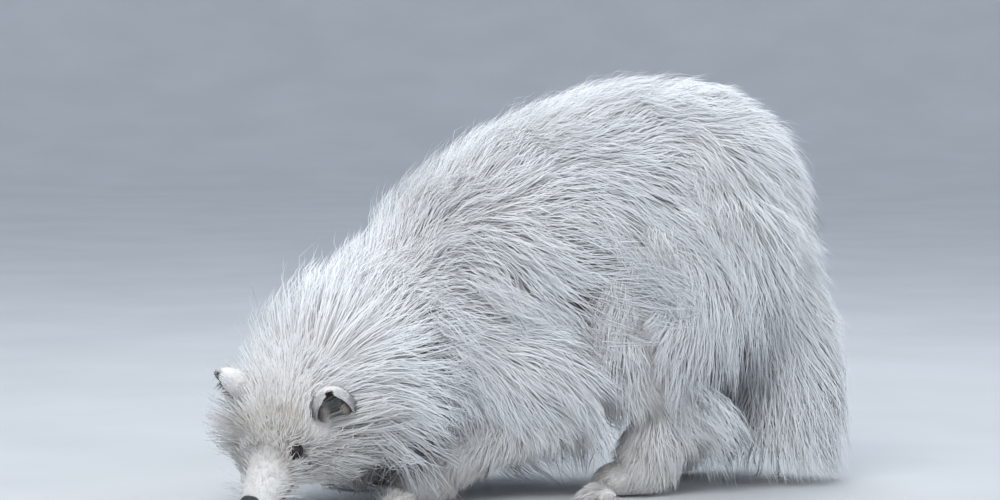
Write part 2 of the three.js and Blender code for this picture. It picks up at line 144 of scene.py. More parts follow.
HIND_SHIFT = {"left": -0.03, "right": 0.062}
SIDES = {"left": -1, "right": 1}

# The head's frame.
SKULL = np.array((-0.368, -0.178, 0.141))
HEADING = math.radians(-129.5)
HEAD_PITCH = math.radians(45)
HEAD_ROLL = math.radians(-6)
NOSE_AT = (0.155, -0.009)
NOSE_SIZE = (0.010, 0.010, 0.014)
EYE_AT = (0.070, 0.009, 0.034)
EYE_RADIUS = 0.0115
LID_OPENING = (0.0115, 0.0075)
CROWN_COVER = 0.3  # of the depth of coat on the cheeks, over the crown
EAR_ROOT = (0.006, 0.020, 0.068)
EAR_LEAN = (0.25, 0.8, 0.3)  # of its axis: along the muzzle, up through the crown and out to its side
EAR_FACING = 0.7  # how far its opening turns out to the side, for each step along the muzzle
EAR_HEIGHT = 0.078
EAR_HALF_WIDTH = 0.030
EAR_WALL = 0.007
EAR_SINK = 0.014
EAR_WRAP = math.radians(118)
MOUTH_LINE = ((0.150, -0.030), (0.130, -0.032), (0.108, -0.032), (0.086, -0.026))

# The camera, from the photo's perspective and scale.
VIEW_AZIMUTH = math.radians(-12)
VIEW_ELEVATION = math.radians(4)
VIEW_DISTANCE = 5.0
PHOTO_WIDTH_AT_DOG = 1.4164
SENSOR_WIDTH = 0.036
PHOTO_CENTRE = (-0.0496, 0.339)  # right and up from the point under the middle of the trunk

# The studio.
FLOOR_RADIUS = 8.0
WALL_BEND = 5.0
FLOOR_SIDES = 96
BEND_STEPS = 25
WORLD_COLOUR = (0.74, 0.83, 0.95, 1)
WORLD_STRENGTH = 0.72
LIGHT_AIM = (0, 0, 0.3)
LIGHTS = (  # name, place, width, watts and colour
    ("key", (-1.6, -2.6, 3.0), 2.2, 80, (1.0, 0.99, 0.97)),
    ("fill", (2.8, -2.4, 1.4), 2.5, 30, (0.90, 0.95, 1.0)),
    ("top", (0.4, 1.2, 3.4), 2.5, 50, (0.93, 0.97, 1.0)),
)

# Colours of the coat.
WHITE = (0.95, 0.96, 0.98)
CREAM = (0.92, 0.91, 0.88)
ROOT_GREY = (0.82, 0.80, 0.78)
# brownish colour of the stains, also used as painted shade in the flank's fold
STAIN_AND_SHADE = (0.60, 0.53, 0.46)

# The skin.
SKIN_VOXEL = 0.0042
SKIN_SMOOTHING = 6

# The coat.
SEED = 11
LONG_STRANDS = 72000
SHORT_STRANDS = 27000
SHORT_COAT = 0.016  # coat shallower than this is short fur
CLUMPS = 6500
GROUND = 0.004
HEAD_STAND = 1.55  # how far hair stands off the back of the head, over the coat's depth there
NECK_STAND = 1.15
BELLY_GROWTH = 0.9  # of the coat's depth, added under the belly
TROUSER_GROWTH = 0.9  # and at the back of the thighs
FOLD_FOOT = (0.112, 0.09)  # x and z of the foot of the flank's fold
FOLD_LEAN = 0.12
FOLD_WIDTH = 0.020
FOLD_TOP = 0.40
FOLD_DEPTH = 0.55  # share of the coat's depth that the fold takes away
LOW_COAT = 0.009  # the most depth that the coat has on feet and all else below LOW_TOP
LOW_TOP = 0.045
LOW_RISE = 1.2  # how much deeper it may be for each step above that
FALL = (0.4, 0, -0.3)  # where hair falls that has no other way to go
FALL_SHARE = 0.3  # how much of every hair's lie that is
HANGING = 0.7  # how far hair leaves the skin where its lie points outward
BLEND_SOFTNESS = 0.30  # how far limbs' coats blend, in shares of a limb's radius
COAT_BATCH = 4000  # points that are blended at a time
BROAD_WAVES = (np.array((31.0, 17.0, 23.0)), np.array((-13.0, 37.0, 29.0)))  # of the lie's swirl
FINE_WAVE = np.array((83.0, -61.0, 97.0))
ROOT_DEPTH = 0.004  # the most that a root is sunk below the skin
DROOP = 0.10  # of a hair's length, at its tip
STRAYS = 0.10  # share of hairs that are thin and loose
STRAND_FLATNESS = 0.6
TAPER_POWER = 0.55
CLUMP_PULL = (0.15, 0.60)  # how far hairs are drawn to the middle of their clump
BOX_MARGIN = 0.010  # how far hair may reach beyond the solids' box
SOFTNESS = 0.6  # share of the skin's own facing in a hair's shading
EYE_CLEAR = 0.0150  # no fur this near the middle of an eye
EYE_SIGHT = 0.0115  # and no strand across it this near its front
EAR_TUFTS = 2400
EAR_INNER_HAIRS = 420
WHISKERS = 34
WHISKER_BED = (0.128, -0.018, 0.026)  # along the muzzle, up, and out to either side
WHISKER_BED_RADIUS = 0.012
LIP_CLEAR = 0.003  # no fur this near the lips
NOSE_CLEAR = 0.0165
PATCH = 0.003  # size of a tuft's patch on the bake map
PIECE_TRIANGLES = 190000


def unit(v):
    """v, or each row of v, made one unit long."""
    return v / np.maximum(np.linalg.norm(v, axis=-1, keepdims=True), 1e-9)


def turned(v, axis, angle):
    """v turned about a unit axis."""
    along = axis * np.dot(axis, v)
    return along + (v - along) * math.cos(angle) + np.cross(axis, v) * math.sin(angle)


UP = np.array((0.0, 0.0, 1.0))
LEFT = np.array((0.0, -1.0, 0.0))
AHEAD = np.array((math.cos(HEADING), math.sin(HEADING), 0.0))
HEAD_LEFT = turned(np.cross(UP, AHEAD), AHEAD, HEAD_ROLL)
MUZZLE = turned(AHEAD, HEAD_LEFT, HEAD_PITCH)
CROWN = np.cross(MUZZLE, HEAD_LEFT)


def on_head(along, up, left):
    """A point given along the muzzle, up through the crown and out to the left ear."""
    return SKULL + SHIFT + MUZZLE * along + CROWN * up + HEAD_LEFT * left


class Limb:
    """A smooth axis through stations, with a half width, a half height and a coat at each place."""

    def __init__(self, name, stations, wide_start=LEFT, wide_end=None):
        self.name = name
        self.stations = np.array(stations, dtype=float)
        self.stations[:, :3] += SHIFT
        self.wide_start = wide_start
        self.wide_end = wide_start if wide_end is None else wide_end

    def at(self, t):
        """Centre, direction, width axis, height axis and sizes at shares t of the way along."""
        t = np.clip(np.atleast_1d(t), 0, 1) * (len(self.stations) - 1)
        i = np.minimum(t.astype(int), len(self.stations) - 2)
        f = (t - i)[:, None]
        p = np.vstack([2 * self.stations[0] - self.stations[1], self.stations])
        p = np.vstack([p, 2 * self.stations[-1] - self.stations[-2]])
        a, b, c, d = p[i], p[i + 1], p[i + 2], p[i + 3]
        second = 2 * a - 5 * b + 4 * c - d
        third = 3 * b - a - 3 * c + d
        point = 0.5 * (2 * b + (c - a) * f + second * f**2 + third * f**3)
        slope = 0.5 * ((c - a) + 2 * second * f + 3 * third * f**2)
        along = unit(slope[:, :3])
        share = t[:, None] / (len(self.stations) - 1)
        wide = self.wide_start * (1 - share) + self.wide_end * share
        wide = unit(wide - along * np.sum(wide * along, axis=1, keepdims=True))
        return point[:, :3], along, wide, np.cross(wide, along), point[:, 3:]


def leg_stations(stations, side, shift):
    """One length of a leg, on one side, moved towards the rump by a shift that grows down to the foot."""
    moved = []
    for x, y, z, *sizes in stations:
        fade = min(max((0.4 - z) / 0.25, 0), 1)
        moved.append((x + shift * fade, side * y, z, *sizes))
    return moved


def feet():
    """Name, heel x and y of each foot."""
    found = []
    for name, side in SIDES.items():
        fore = FORE["pastern"][-1]
        hind = HIND["cannon"][-1]
        found.append((f"foreleg_{name}", fore[0] + FORE_SHIFT[name], side * fore[1]))
        found.append((f"hind_leg_{name}", hind[0] + HIND_SHIFT[name], side * hind[1]))
    return found


# How hair grows on each limb: the share of its lie that follows the limb's axis, the drift added to that,
# its run along the body over the depth of the coat, how dense it is, and how much it is tousled.
GROWTH = {
    "trunk": (-1.0, (0, 0, -0.60), 1.75, 1.0, 0.34),
    "neck": (-1.0, (0.10, 0, -0.42), 1.20, 1.2, 0.30),
    "head": (-1.0, (0, 0, -0.05), 0.70, 1.6, 0.34),
    "tail": (1.0, (0.42, 0, -0.30), 1.55, 6.0, 0.14),
    "thigh": (1.0, (0.42, 0, 0), 2.10, 1.1, 0.28),
    "shank": (0.6, (0.15, 0, -0.8), 2.40, 1.5, 0.25),
    "cannon": (0.8, (0.1, 0, -0.6), 2.20, 1.7, 0.20),
    "shoulder": (0.0, (0.9, 0, -0.7), 2.30, 1.1, 0.30),
    "arm": (0.5, (0.6, 0, -0.9), 2.00, 1.1, 0.25),
    "forearm": (1.0, (0.2, 0, -0.3), 1.30, 1.3, 0.22),
    "pastern": (1.0, (0.1, 0, -0.3), 1.50, 1.5, 0.15),
    "paw": (1.0, (0, 0, -0.2), 1.50, 1.0, 0.15),
}


def make_limbs():
    """Every limb of the body."""
    limbs = [
        Limb("trunk", TRUNK),
        Limb("neck", NECK, LEFT, HEAD_LEFT),
        Limb("tail", TAIL),
    ]
    head = [(*(on_head(along, up, 0) - SHIFT), *sizes) for along, up, *sizes in HEAD]
    limbs.append(Limb("head", head, HEAD_LEFT))
    for name, side in SIDES.items():
        for parts, shift in ((FORE, FORE_SHIFT[name]), (HIND, HIND_SHIFT[name])):
            for part, stations in parts.items():
                limbs.append(Limb(part, leg_stations(stations, side, shift)))
    for _, x, y in feet():
        stations = [(x - forward, y, z, wide, tall, PAW_COAT) for forward, z, wide, tall in PAW]
        limbs.append(Limb("paw", stations))
    return limbs


def mesh_object(name, vertices, faces):
    """A smooth mesh object from arrays of vertices and of faces with the same number of corners each."""
    mesh = bpy.data.meshes.new(name)
    vertices = np.asarray(vertices, dtype=np.float32)
    faces = np.asarray(faces, dtype=np.int32)
    corners = faces.shape[1]
    mesh.vertices.add(len(vertices))
    mesh.vertices.foreach_set("co", vertices.ravel())
    mesh.loops.add(faces.size)
    mesh.loops.foreach_set("vertex_index", faces.ravel())
    mesh.polygons.add(len(faces))
    mesh.polygons.foreach_set("loop_start", np.arange(0, faces.size, corners, dtype=np.int32))
    mesh.update(calc_edges=True)
    mesh.validate()
    mesh.shade_smooth()
    obj = bpy.data.objects.new(name, mesh)
    bpy.context.scene.collection.objects.link(obj)
    return obj


def object_from(bm, name):
    """A smooth mesh object from a finished bmesh."""
    mesh = bpy.data.meshes.new(name)
    bm.to_mesh(mesh)
    bm.free()
    mesh.shade_smooth()
    obj = bpy.data.objects.new(name, mesh)
    bpy.context.scene.collection.objects.link(obj)
    return obj


def loft(bm, rings, closed_ends=True):
    """Adds a skin over rings of points, each ring an array of corners, with a fan at either end."""
    rows = [[bm.verts.new(p) for p in ring] for ring in rings]
    for low, high in zip(rows, rows[1:]):
        for i in range(len(low)):
            j = (i + 1) % len(low)
            bm.faces.new((low[i], low[j], high[j], high[i]))
    if closed_ends:
        bm.faces.new(rows[0][::-1])
        bm.faces.new(rows[-1])


def limb_rings(limb, sides=28, rings=24):
    """Rings of points over a limb's flesh, drawn in to a rounded end at both ends."""
    angle = np.linspace(0, 2 * math.pi, sides, endpoint=False)
    made = []
    for k in range(-5, rings + 6):
        t = min(max(k / rings, 0), 1)
        centre, along, wide, tall, sizes = (v[0] for v in limb.at(t))
        over = max(-k, k - rings, 0) / 5
        shrink = math.sqrt(max(1 - over**2, 0.02))
        push = 0.55 * min(sizes[0], sizes[1]) * over * (1 if k > 0 else -1)
        a = sizes[0] * shrink
        b = sizes[1] * shrink
        middle = centre + along * push
        made.append(middle + np.outer(np.cos(angle) * a, wide) + np.outer(np.sin(angle) * b, tall))
    return made


def add_ball(bm, centre, radii):
    """Adds an egg with its axes along X, Y and Z."""
    made = bmesh.ops.create_uvsphere(bm, u_segments=16, v_segments=10, radius=1.0)
    for v in made["verts"]:
        v.co = Vector(centre) + Vector((v.co.x * radii[0], v.co.y * radii[1], v.co.z * radii[2]))


def apply_modifiers(obj):
    """Replaces an object's mesh by what its modifiers make of it."""
    graph = bpy.context.evaluated_depsgraph_get()
    made = bpy.data.meshes.new_from_object(obj.evaluated_get(graph))
    obj.modifiers.clear()
    old = obj.data
    obj.data = made
    bpy.data.meshes.remove(old)


def head_surface(along, up):
    """How far out to the side the head's flesh reaches at a place along the muzzle and up."""
    table = np.array(HEAD)
    centre, wide, tall = (np.interp(along, table[:, 0], table[:, k]) for k in (1, 2, 3))
    return wide * math.sqrt(max(1 - ((up - centre) / tall) ** 2, 0.03))


def make_skin(limbs):
    """One closed skin over all limbs, joined by a fine remesh and smoothed."""
    bm = bmesh.new()
    for limb in limbs:
        loft(bm, limb_rings(limb))
    for _, x, y in feet():
        for i, reach in enumerate(TOE_REACH):
            place = (x - reach, y + (i - 1.5) * TOE_SPREAD, TOE_RADIUS - 0.0015)
            add_ball(bm, place, (1.35 * TOE_RADIUS, 0.86 * TOE_RADIUS, TOE_RADIUS))
    skin = object_from(bm, "skin")
    remesh = skin.modifiers.new("join", "REMESH")
    remesh.mode = "VOXEL"
    remesh.voxel_size = SKIN_VOXEL
    smooth = skin.modifiers.new("smooth", "SMOOTH")
    smooth.factor = 0.5
    smooth.iterations = SKIN_SMOOTHING
    apply_modifiers(skin)
    shape_face(skin.data)
    skin.data.shade_smooth()
    return skin


def shape_face(mesh):
    """Presses in the sockets of the eyes and flattens the soles."""
    co = np.empty(len(mesh.vertices) * 3)
    mesh.vertices.foreach_get("co", co)
    co = co.reshape(-1, 3)
    for side in (1, -1):
        eye = on_head(EYE_AT[0], EYE_AT[1], side * EYE_AT[2])
        away = co - eye
        distance = np.linalg.norm(away, axis=1)
        inside = distance < EYE_RADIUS * 0.98
        co[inside] = eye + away[inside] * (EYE_RADIUS * 0.3 / np.maximum(distance[inside], 1e-5))[:, None]
    co[:, 2] = np.maximum(co[:, 2], 0.0)
    mesh.vertices.foreach_set("co", co.ravel())
    mesh.update()


def unwrap(skin):
    """Gives the skin its own unwrap, named for the bake."""
    bpy.context.view_layer.objects.active = skin
    skin.select_set(True)
    bpy.ops.object.mode_set(mode="EDIT")
    bpy.ops.mesh.select_all(action="SELECT")
    bpy.ops.uv.smart_project(angle_limit=math.radians(70), island_margin=0.004)
    bpy.ops.object.mode_set(mode="OBJECT")
    skin.data.uv_layers[0].name = "OFBake"


class Surface:
    """The skin's triangles, with their normals and places on the unwrap."""

    def __init__(self, mesh):
        mesh.calc_loop_triangles()
        count = len(mesh.loop_triangles)
        self.corners = np.empty(count * 3, dtype=np.int32)
        mesh.loop_triangles.foreach_get("vertices", self.corners)
        self.corners = self.corners.reshape(-1, 3)
        loops = np.empty(count * 3, dtype=np.int32)
        mesh.loop_triangles.foreach_get("loops", loops)
        co = np.empty(len(mesh.vertices) * 3)
        mesh.vertices.foreach_get("co", co)
        self.co = co.reshape(-1, 3)
        normals = np.empty(len(mesh.vertices) * 3)
        mesh.vertices.foreach_get("normal", normals)
        self.normals = normals.reshape(-1, 3)
        uv = np.empty(len(mesh.loops) * 2)
        mesh.uv_layers["OFBake"].data.foreach_get("uv", uv)
        self.uv = uv.reshape(-1, 2)[loops].reshape(-1, 3, 2)
        a, b, c = (self.co[self.corners[:, k]] for k in range(3))
        self.area = 0.5 * np.linalg.norm(np.cross(b - a, c - a), axis=1)
        self.centres = (a + b + c) / 3
        self.facing = unit(np.sum(self.normals[self.corners], axis=1))
        self.tree = BVHTree.FromPolygons(self.co.tolist(), self.corners.tolist())

    def sample(self, rng, density, count):
        """Random places: points, normals and unwrap places, as dense as the density of each triangle asks."""
        weight = self.area * density
        chosen = rng.choice(len(weight), size=count, p=weight / weight.sum())
        r = np.sqrt(rng.random(count))
        q = rng.random(count)
        shares = np.stack([1 - r, r * (1 - q), r * q], axis=1)[:, :, None]
        points = np.sum(self.co[self.corners[chosen]] * shares, axis=1)
        normals = unit(np.sum(self.normals[self.corners[chosen]] * shares, axis=1))
        return points, normals, np.sum(self.uv[chosen] * shares, axis=1)


def flank_fold(points):
    """How near a point is to the fold between the belly and the thigh, which runs down and forward."""
    x, y, z = (points - SHIFT).T
    middle = FOLD_FOOT[0] + FOLD_LEAN * (z - FOLD_FOOT[1])
    across = np.exp(-(((x - middle) / FOLD_WIDTH) ** 2))
    return across * np.clip((FOLD_TOP - z) / 0.10, 0, 1) * np.clip((np.abs(y) - 0.05) / 0.04, 0, 1)


class Coat:
    """The depth, run, tousle and lie of the coat at any place, blended from the limbs that are near."""

    SAMPLES = 60

    def __init__(self, limbs):
        t = np.linspace(0, 1, self.SAMPLES)
        places, radii, values, owners = [], [], [], []
        for number, limb in enumerate(limbs):
            share, drift, run, dense, tousle = GROWTH[limb.name]
            centre, along, _, _, size = limb.at(t)
            lie = along * share + np.array(drift)
            rest = np.tile((run, dense, tousle), (len(t), 1))
            places.append(centre)
            radii.append((size[:, 0] + size[:, 1]) / 2)
            values.append(np.hstack([size[:, 2:3], lie, rest]))
            owners.append(np.full(len(t), number))
        self.places = np.concatenate(places)
        self.radii = np.concatenate(radii)
        self.values = np.concatenate(values)
        self.owners = np.concatenate(owners)
        self.names = np.array([limb.name for limb in limbs])

    def at(self, points, normals):
        """Depth, lie before it is laid down, run over depth, density, tousle and the main limb's name."""
        found = np.empty((len(points), self.values.shape[1]))
        owner = np.empty(len(points), dtype=int)
        for start in range(0, len(points), COAT_BATCH):
            part = slice(start, start + COAT_BATCH)
            away = np.linalg.norm(points[part, None] - self.places[None], axis=2) / self.radii[None]
            near = away.min(axis=1, keepdims=True)
            weight = np.exp(-(((away - near) / BLEND_SOFTNESS) ** 2))
            weight /= weight.sum(axis=1, keepdims=True)
            found[part] = weight @ self.values
            owner[part] = self.owners[away.argmin(axis=1)]
        names = self.names[owner]
        depth = found[:, 0] * self.cover(normals, names) * (1 - FOLD_DEPTH * flank_fold(points))
        depth = np.minimum(depth, LOW_COAT + LOW_RISE * np.clip(points[:, 2] - LOW_TOP, 0, None))
        lie = found[:, 1:4].copy()
        belly = np.clip(-normals[:, 2] - 0.25, 0, 1) * (names == "trunk")
        lie[:, 2] -= belly
        return depth, lie, found[:, 4], found[:, 5], found[:, 6], names

    @staticmethod
    def cover(normals, names):
        """Share of the depth: less over the crown, more under the belly and behind the thighs."""
        crown = np.clip(normals @ CROWN, 0, 1) ** 1.5 * (names == "head")
        belly = np.clip(-normals[:, 2] - 0.1, 0, 1) * (names == "trunk")
        trousers = np.clip(normals[:, 0] - 0.1, 0, 1) * np.isin(names, ("thigh", "shank", "arm"))
        grown = (1 + BELLY_GROWTH * belly) * (1 + TROUSER_GROWTH * trousers)
        return (1 - (1 - CROWN_COVER) * crown) * grown


def swirl(points, lie, normals, tousle):
    """Turns the lie, in broad patches and fine ones, so that the hair parts and crosses."""
    broad = np.sin(points @ BROAD_WAVES[0]) + np.sin(points @ BROAD_WAVES[1] + 1.7)
    fine = np.sin(points @ FINE_WAVE + 0.6)
    angle = (tousle * (broad + 0.7 * fine))[:, None]
    return lie * np.cos(angle) + np.cross(normals, lie) * np.sin(angle)


def laid(points, lie, normals, tousle):
    """The way that hair runs: along the skin, or hanging clear of it where that is the way down."""
    outward = np.sum(lie * normals, axis=1, keepdims=True)
    fall = np.array(FALL) - normals * (normals @ np.array(FALL))[:, None]
    flat = swirl(points, lie - normals * outward + FALL_SHARE * fall, normals, tousle)
    return unit(flat + normals * np.clip(outward, 0, None) * HANGING)


def hair_paths(points, normals, lie, length, rise, wave, steps, rng):
    """The middle lines of hairs: from a root under the skin, out and along, with a wave and a droop."""
    count = len(points)
    across = unit(np.cross(lie, normals))
    phase = rng.random((count, 2)) * 2 * math.pi
    turns = 1.0 + 1.6 * rng.random(count)
    sink = np.minimum(ROOT_DEPTH, 0.5 * rise)
    path = np.empty((count, steps + 1, 3))
    for k in range(steps + 1):
        share = k / steps
        swing = wave * share * np.sin(2 * math.pi * turns * share + phase[:, 0])
        lift = 0.5 * wave * share * np.sin(2 * math.pi * turns * share + phase[:, 1])
        height = rise * math.sin(share * math.pi / 2) - sink + lift
        path[:, k] = points + lie * (length * share)[:, None] + normals * height[:, None]
        path[:, k] += across * swing[:, None]
        path[:, k, 2] -= DROOP * length * share**2
    return path


def within_box(path):
    """Holds hair inside the box of the solids, with a small margin."""
    low_corner, high_corner = (np.array(corner) for corner in cad_box)
    low_corner = low_corner - BOX_MARGIN
    low_corner[2] = GROUND
    return np.clip(path, low_corner, high_corner + BOX_MARGIN)


def strands(path, normals, width):
    """Vertices of tapered three-sided strands, their share of the way, and their shading normals."""
    count, places = path.shape[:2]
    steps = places - 1
    s = np.linspace(0, 1, places)
    direction = np.empty_like(path)
    direction[:, :-1] = np.diff(path, axis=1)
    direction[:, -1] = direction[:, -2]
    direction = unit(direction)
    side = unit(np.cross(direction, normals[:, None]))
    top = np.cross(side, direction)
    taper = (1 - s) ** TAPER_POWER * 0.5
    rings = np.empty((count, steps, 3, 3))
    facing = np.empty((count, steps, 3, 3))
    for corner, turn in enumerate((math.pi / 2, -math.pi / 6, -math.pi * 5 / 6)):
        offset = side * math.cos(turn) + top * math.sin(turn) * STRAND_FLATNESS
        rings[:, :, corner] = (path + offset * (width[:, None] * taper)[:, :, None])[:, :steps]
        facing[:, :, corner] = offset[:, :steps]
    vertices = np.concatenate([rings.reshape(count, steps * 3, 3), path[:, -1:]], axis=1)
    facing = np.concatenate([facing.reshape(count, steps * 3, 3), top[:, -1:]], axis=1)
    facing = unit(normals[:, None] * SOFTNESS + unit(facing) * (1 - SOFTNESS))
    vertices[:, :, 2] = np.maximum(vertices[:, :, 2], GROUND)
    return vertices, np.concatenate([np.repeat(s[:steps], 3), [1.0]]), facing


def settle(path, rise, surface):
    """Keeps each strand over the skin, higher along its way to the tip, as it follows the body's curves."""
    steps = path.shape[1] - 1
    for k in range(1, steps + 1):
        least = rise * (0.25 + 0.45 * k / steps)
        for i, point in enumerate(path[:, k]):
            place, normal, _, distance = surface.tree.find_nearest(point)
            outside = (point[0] - place[0]) * normal[0] + (point[1] - place[1]) * normal[1]
            outside += (point[2] - place[2]) * normal[2]
            height = distance if outside > 0 else -distance
            if height < least[i]:
                path[i, k] = np.array(place) + np.array(normal) * least[i]


def strand_faces(steps):
    """Triangles of one strand."""
    faces = [(2, 1, 0)]
    for k in range(steps - 1):
        for a in range(3):
            b = (a + 1) % 3
            low, high = 3 * k, 3 * (k + 1)
            faces.append((low + a, low + b, high + b))
            faces.append((low + a, high + b, high + a))
    last = 3 * (steps - 1)
    for a in range(3):
        faces.append((last + a, last + (a + 1) % 3, 3 * steps))
    return np.array(faces)


def coat_piece(name, hair, steps, root_uv, tone, stain_and_shade, material):
    """One mesh of strands, with its bake map and the values that its material reads."""
    vertices, shares, facing = hair
    count, each = vertices.shape[:2]
    pattern = strand_faces(steps)
    faces = (pattern[None] + (np.arange(count) * each)[:, None, None]).reshape(-1, 3)
    obj = mesh_object(name, vertices.reshape(-1, 3), faces)
    mesh = obj.data
    corner = faces.ravel()
    strand = corner // each
    place = corner % each
    patch = np.stack([(place % 3) / 2 - 0.5, shares[place] - 0.5], axis=1) * PATCH
    uv = np.clip(root_uv[strand] + patch, 0, 1)
    mesh.uv_layers.new(name="OFBake").data.foreach_set("uv", uv.astype(np.float32).ravel())
    for label, values in (
        ("strand", np.tile(shares, count)),
        ("tone", np.repeat(tone, each)),
        # stains, together with painted shade in the flank's fold
        ("stain_and_shade", np.repeat(stain_and_shade, each)),
    ):
        made = mesh.attributes.new(label, "FLOAT", "POINT")
        made.data.foreach_set("value", values.astype(np.float32))
    mesh.normals_split_custom_set_from_vertices(facing.reshape(-1, 3))
    mesh.materials.append(material)
    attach(obj, "root")


def stain_and_fold_shade_at(points):
    """How much the coat is stained between the ears and low on the legs, and darkened by painted shade in the
    flank's fold.
    """
    head = np.exp(-(np.linalg.norm(points - on_head(0.045, 0.03, 0), axis=1) / 0.07) ** 2)
    low = np.clip((0.16 - points[:, 2]) / 0.16, 0, 1) * 0.75
    # the flank_fold term is painted shade in the crease between belly and thigh; the head and low terms are
    # stains
    return np.clip(0.55 * head + low + 0.5 * flank_fold(points), 0, 1)


def region_of(points, owner):
    """The name of the coat piece that each strand goes to."""
    side = np.where(points[:, 1] - SHIFT[1] < 0, "left", "right")
    group = np.where(owner == "trunk", "trunk", "leg")
    group = np.where(owner == "neck", "neck", group)
    group = np.where(owner == "head", "head", group)
    group = np.where(owner == "tail", "tail", group)
    return np.char.add(np.char.add("coat_", group), np.char.add("_", side))


def clear_of_face(points):
    """False within the openings of the eyes, on the nose pad and on the lips."""
    keep = np.linalg.norm(points - on_head(NOSE_AT[0], NOSE_AT[1], 0), axis=1) > NOSE_CLEAR
    for side in (1, -1):
        keep &= np.linalg.norm(points - on_head(EYE_AT[0], EYE_AT[1], side * EYE_AT[2]), axis=1) > EYE_CLEAR
        for along, up in MOUTH_LINE:
            lip = on_head(along, up, side * head_surface(along, up))
            keep &= np.linalg.norm(points - lip, axis=1) > LIP_CLEAR
    return keep


def crosses(path):
    """True for strands that would cross the hollow of an ear or the sight of an eye."""
    crossing = np.zeros(len(path), dtype=bool)
    for side in (1, -1):
        root, axis, mouth, _ = ear_frame(side)
        away = path - (root + mouth * 0.006)
        height = away @ axis
        aside = np.linalg.norm(away - height[..., None] * axis, axis=-1)
        top = EAR_HEIGHT - EAR_SINK
        crossing |= np.any((height > 0.006) & (height < top) & (aside < EAR_HALF_WIDTH * 0.95), axis=1)
        sight = on_head(EYE_AT[0], EYE_AT[1], side * EYE_AT[2]) + eye_out(side) * EYE_RADIUS
        for share in (0.3, 0.65, 1.0):
            between = path[:, :-1] * (1 - share) + path[:, 1:] * share
            crossing |= np.any(np.linalg.norm(between - sight, axis=-1) < EYE_SIGHT, axis=1)
    return crossing


def make_coat(surface, coat, material):
    """All the fur: clumped long hair on the body, short fur on the face and feet, and whiskers."""
    rng = np.random.default_rng(SEED)
    depth, _, _, dense, _, names = coat.at(surface.centres, surface.facing)
    long_density = np.where(depth > SHORT_COAT, dense * (0.045 / np.maximum(depth, 0.012)), 0)
    short_density = np.where(depth <= SHORT_COAT * 1.3, 1.0 + (names != "head"), 0)
    short_density = short_density * clear_of_face(surface.centres)
    clumps = surface.sample(rng, long_density, CLUMPS)[:2]
    make_strands(surface, coat, rng, long_density, LONG_STRANDS, 3, clumps, material, "long")
    make_strands(surface, coat, rng, short_density, SHORT_STRANDS, 2, None, material, "short")
    make_whiskers(surface, rng, material)


def make_strands(surface, coat, rng, density, count, steps, clumps, material, kind):
    """Strands of one kind over the skin, split into pieces."""
    points, normals, uv = surface.sample(rng, density, count)
    depth, lie, run, _, tousle, owner = coat.at(points, normals)
    lie = laid(points, lie, normals, tousle)
    stray = rng.random(count) < STRAYS
    length = depth * run * rng.normal(1, 0.13, count) + 0.005
    stand = np.select([owner == "head", owner == "neck"], [HEAD_STAND, NECK_STAND], 1.0)
    rise = depth * stand * rng.uniform(0.6, 1.02, count) * np.where(stray, 1.2, 1) + 0.0025
    width = np.interp(depth, (0.003, 0.02, 0.06), (0.0009, 0.0016, 0.0024)) * rng.uniform(0.7, 1.25, count)
    width = np.where(stray, 0.5 * width, width)
    wave = 0.075 * length * rng.uniform(0.4, 1.6, count) * np.where(stray, 2.0, 1)
    tone = rng.random(count)
    path = hair_paths(points, normals, lie, length, rise, wave, steps, rng)
    if clumps is not None:
        tips, clump_tone = clump_paths(coat, rng, clumps, points, steps)
        pull = np.where(stray, 0.05, rng.uniform(*CLUMP_PULL, count))
        bend = pull[:, None, None] * (np.linspace(0, 1, steps + 1) ** 1.5)[None, :, None]
        path = path * (1 - bend) + tips * bend
        tone = 0.45 * tone + 0.55 * clump_tone
    settle(path, rise, surface)
    path = within_box(path)
    keep = ~crosses(path)
    # stains, plus painted shade in the flank's fold
    stain_and_shade = stain_and_fold_shade_at(points)
    regions = region_of(points, owner)
    triangles = 6 * steps - 2
    for region in sorted(set(regions)):
        mine = np.flatnonzero((regions == region) & keep)
        parts = max(math.ceil(len(mine) * triangles / PIECE_TRIANGLES), 1)
        for number, part in enumerate(np.array_split(mine, parts)):
            if len(part) == 0:
                continue
            hair = strands(path[part], normals[part], width[part])
            name = f"{region}_{kind}_{number + 1}"
            coat_piece(name, hair, steps, uv[part], tone[part], stain_and_shade[part], material)


def make_whiskers(surface, rng, material):
    """Long thin whiskers out of the upper lips."""
    bed = np.zeros(len(surface.centres))
    for side in (1, -1):
        middle = on_head(WHISKER_BED[0], WHISKER_BED[1], side * WHISKER_BED[2])
        bed += np.linalg.norm(surface.centres - middle, axis=1) < WHISKER_BED_RADIUS
    points, normals, uv = surface.sample(rng, bed, WHISKERS)
    lie = unit(normals - MUZZLE * 0.55 - UP * 0.15)
    length = rng.uniform(0.030, 0.055, WHISKERS)
    none = np.zeros(WHISKERS)
    path = within_box(hair_paths(points, normals, lie, length, none, none, 3, rng))
    hair = strands(path, normals, np.full(WHISKERS, 0.0008))
    coat_piece("whiskers", hair, 3, uv, none + 1, none, material)


